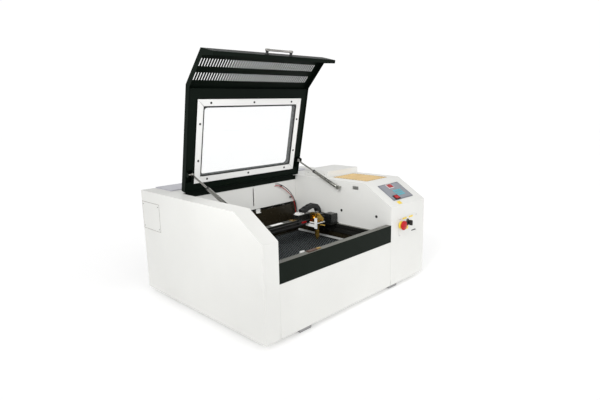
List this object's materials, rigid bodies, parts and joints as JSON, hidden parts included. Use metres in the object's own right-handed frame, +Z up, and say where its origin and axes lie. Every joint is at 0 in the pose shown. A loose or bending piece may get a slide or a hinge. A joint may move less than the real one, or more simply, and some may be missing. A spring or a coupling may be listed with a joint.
{
  "type": "desktop laser cutter",
  "caption": "Desktop CO2 laser cutter: folded steel cabinet, raised windowed lid on gas struts, moving gantry over a honeycomb bed, and a sloped control console.",
  "frame": {"origin": "on the floor under the middle of the object's bounding box", "axes": "+X to the right along the front, +Y from the front to the back, +Z up"},
  "size_m": [0.96, 0.842, 1.002],
  "materials": {
    "white_paint": "powder coated, satin",
    "black_paint": "powder coated, satin",
    "dark_tray": "glossy dark brown enamel",
    "frame_white": "smooth",
    "pane": "clear",
    "bright_steel": "polished",
    "strut_grey": "satin",
    "rail_black": "black anodised",
    "bed_aluminium": "satin",
    "honeycomb": "dark honeycomb",
    "brass": "machined",
    "black_plastic": "moulded",
    "rubber": "matt",
    "red_plastic": "gloss",
    "collar_yellow": "gloss",
    "panel_grey": "membrane overlay",
    "yellow_card": "printed sheet",
    "cover_lilac": "powder coated",
    "tube_glass": "borosilicate",
    "supply_grey": "zinc plated sheet",
    "board_green": "circuit board",
    "lead_red_sheath": "insulation",
    "lead_black_sheath": "insulation"
  },
  "bodies": {
    "cabinet": {"base_pan": "white_paint", "left_side_shell": "white_paint", "access_plate_left": "white_paint", "console_shell": "white_paint", "front_panel": "white_paint", "front_bar": "black_paint", "rear_panel": "white_paint", "hinge_bridge": "white_paint", "chamber_tray": "dark_tray", "raised_cover": "white_paint", "placard": "yellow_card", "foot_left_front": "rubber", "foot_left_rear": "rubber", "foot_right_front": "rubber", "foot_right_rear": "rubber", "control_panel": "panel_grey", "rocker_bezel": "black_plastic", "safety_plate": "frame_white", "estop_collar": "collar_yellow", "key_barrel": "black_plastic", "lid_sensor": "white_paint", "lid_hinge": "black_paint", "y_rail_left": "rail_black", "y_rail_right": "rail_black", "bed_frame": "bed_aluminium", "honeycomb_bed": "honeycomb", "mirror_mount_1": "brass", "y_motor": "black_plastic", "laser_tube": "tube_glass", "tube_cradle": "black_plastic", "power_supply": "supply_grey", "controller_board": "board_green", "mains_inlet": "black_plastic", "exhaust_duct": "black_plastic", "lead_red": "lead_red_sheath", "lead_black": "lead_black_sheath"},
    "lid": {"lid_shell": "black_paint", "lid_inner_panel": "black_paint", "window_frame": "frame_white", "window_pane": "pane", "lid_handle": "bright_steel"},
    "strut_body_left": {"strut_cylinder_left": "strut_grey"},
    "strut_body_right": {"strut_cylinder_right": "strut_grey"},
    "strut_piston_left": {"strut_rod_left": "bright_steel"},
    "strut_piston_right": {"strut_rod_right": "bright_steel"},
    "gantry": {"x_beam": "rail_black", "x_motor": "black_plastic", "x_belt": "rubber", "mirror_mount_2": "brass"},
    "belt_pulley": {"x_pulley": "bright_steel"},
    "laser_head": {"carriage": "bed_aluminium", "mirror_mount_3": "brass", "drag_chain": "black_plastic"},
    "focus_tube": {"lens_tube": "brass"},
    "drive_shaft": {"y_drive_shaft": "bright_steel"},
    "rear_cover": {"tube_cover": "cover_lilac"},
    "stop_mushroom": {"estop_button": "red_plastic"},
    "switch_key": {"key": "black_plastic"},
    "mains_rocker": {"power_rocker": "red_plastic"},
    "extractor_fan": {"fan_rotor": "black_plastic"}
  },
  "joints": [
    {"name": "lid_hinge_turn", "type": "hinge", "parent": "cabinet", "child": "lid", "pos_m": [-0.096, 0.181, 0.453], "axis": [1, 0, 0], "range_deg": [0, 78.4], "stiffness_Nm_per_rad": 5, "springref_deg": -126.05},
    {"name": "strut_swing_left", "type": "hinge", "parent": "cabinet", "child": "strut_body_left", "pos_m": [-0.39, -0.121, 0.422], "axis": [1, 0, 0], "range_deg": [-24, 0.5]},
    {"name": "strut_stroke_left", "type": "slide", "parent": "strut_body_left", "child": "strut_piston_left", "axis": [0, 0.9218, 0.3877], "range_m": [-0.0555, 0.0005]},
    {"name": "strut_swing_right", "type": "hinge", "parent": "cabinet", "child": "strut_body_right", "pos_m": [0.198, -0.121, 0.422], "axis": [1, 0, 0], "range_deg": [-24, 0.5]},
    {"name": "strut_stroke_right", "type": "slide", "parent": "strut_body_right", "child": "strut_piston_right", "axis": [0, 0.9218, 0.3877], "range_m": [-0.0555, 0.0005]},
    {"name": "gantry_travel", "type": "slide", "parent": "cabinet", "child": "gantry", "axis": [0, 1, 0], "range_m": [-0.245, 0.125]},
    {"name": "drive_shaft_spin", "type": "hinge", "parent": "cabinet", "child": "drive_shaft", "pos_m": [-0.096, 0.157, 0.2], "axis": [1, 0, 0], "range_deg": [-1410, 725]},
    {"name": "carriage_travel", "type": "slide", "parent": "gantry", "child": "laser_head", "axis": [1, 0, 0], "range_m": [-0.395, 0.025]},
    {"name": "belt_pulley_spin", "type": "hinge", "parent": "gantry", "child": "belt_pulley", "pos_m": [0.1955, -0.0578, 0.2772], "axis": [0, 1, 0], "range_deg": [-3200, 210]},
    {"name": "focus_slide", "type": "slide", "parent": "laser_head", "child": "focus_tube", "axis": [0, 0, 1], "range_m": [-0.006, 0.01]},
    {"name": "rear_cover_hinge", "type": "hinge", "parent": "cabinet", "child": "rear_cover", "pos_m": [-0.096, 0.392, 0.4545], "axis": [-1, 0, 0], "range_deg": [0, 95]},
    {"name": "stop_press", "type": "slide", "parent": "cabinet", "child": "stop_mushroom", "axis": [0, 1, 0], "range_m": [0, 0.005]},
    {"name": "key_turn", "type": "hinge", "parent": "cabinet", "child": "switch_key", "pos_m": [0.341, -0.403, 0.279], "axis": [0, 1, 0], "range_deg": [0, 90]},
    {"name": "rocker_tip", "type": "hinge", "parent": "cabinet", "child": "mains_rocker", "pos_m": [0.312, -0.35814, 0.38982], "axis": [1, 0, 0], "range_deg": [0, 14]},
    {"name": "fan_spin", "type": "hinge", "parent": "cabinet", "child": "extractor_fan", "pos_m": [-0.096, 0.3735, 0.14], "axis": [0, 1, 0], "continuous": true}
  ],
  "couplings": [
    {"joint": "strut_swing_left", "follows": "lid_hinge_turn", "ratio": -0.30068},
    {"joint": "strut_stroke_left", "follows": "lid_hinge_turn", "m_per_rad": -0.040114},
    {"joint": "strut_swing_right", "follows": "lid_hinge_turn", "ratio": -0.30068},
    {"joint": "strut_stroke_right", "follows": "lid_hinge_turn", "m_per_rad": -0.040114},
    {"joint": "drive_shaft_spin", "follows": "gantry_travel", "rad_per_m": 100},
    {"joint": "belt_pulley_spin", "follows": "carriage_travel", "rad_per_m": 140.84}
  ]
}
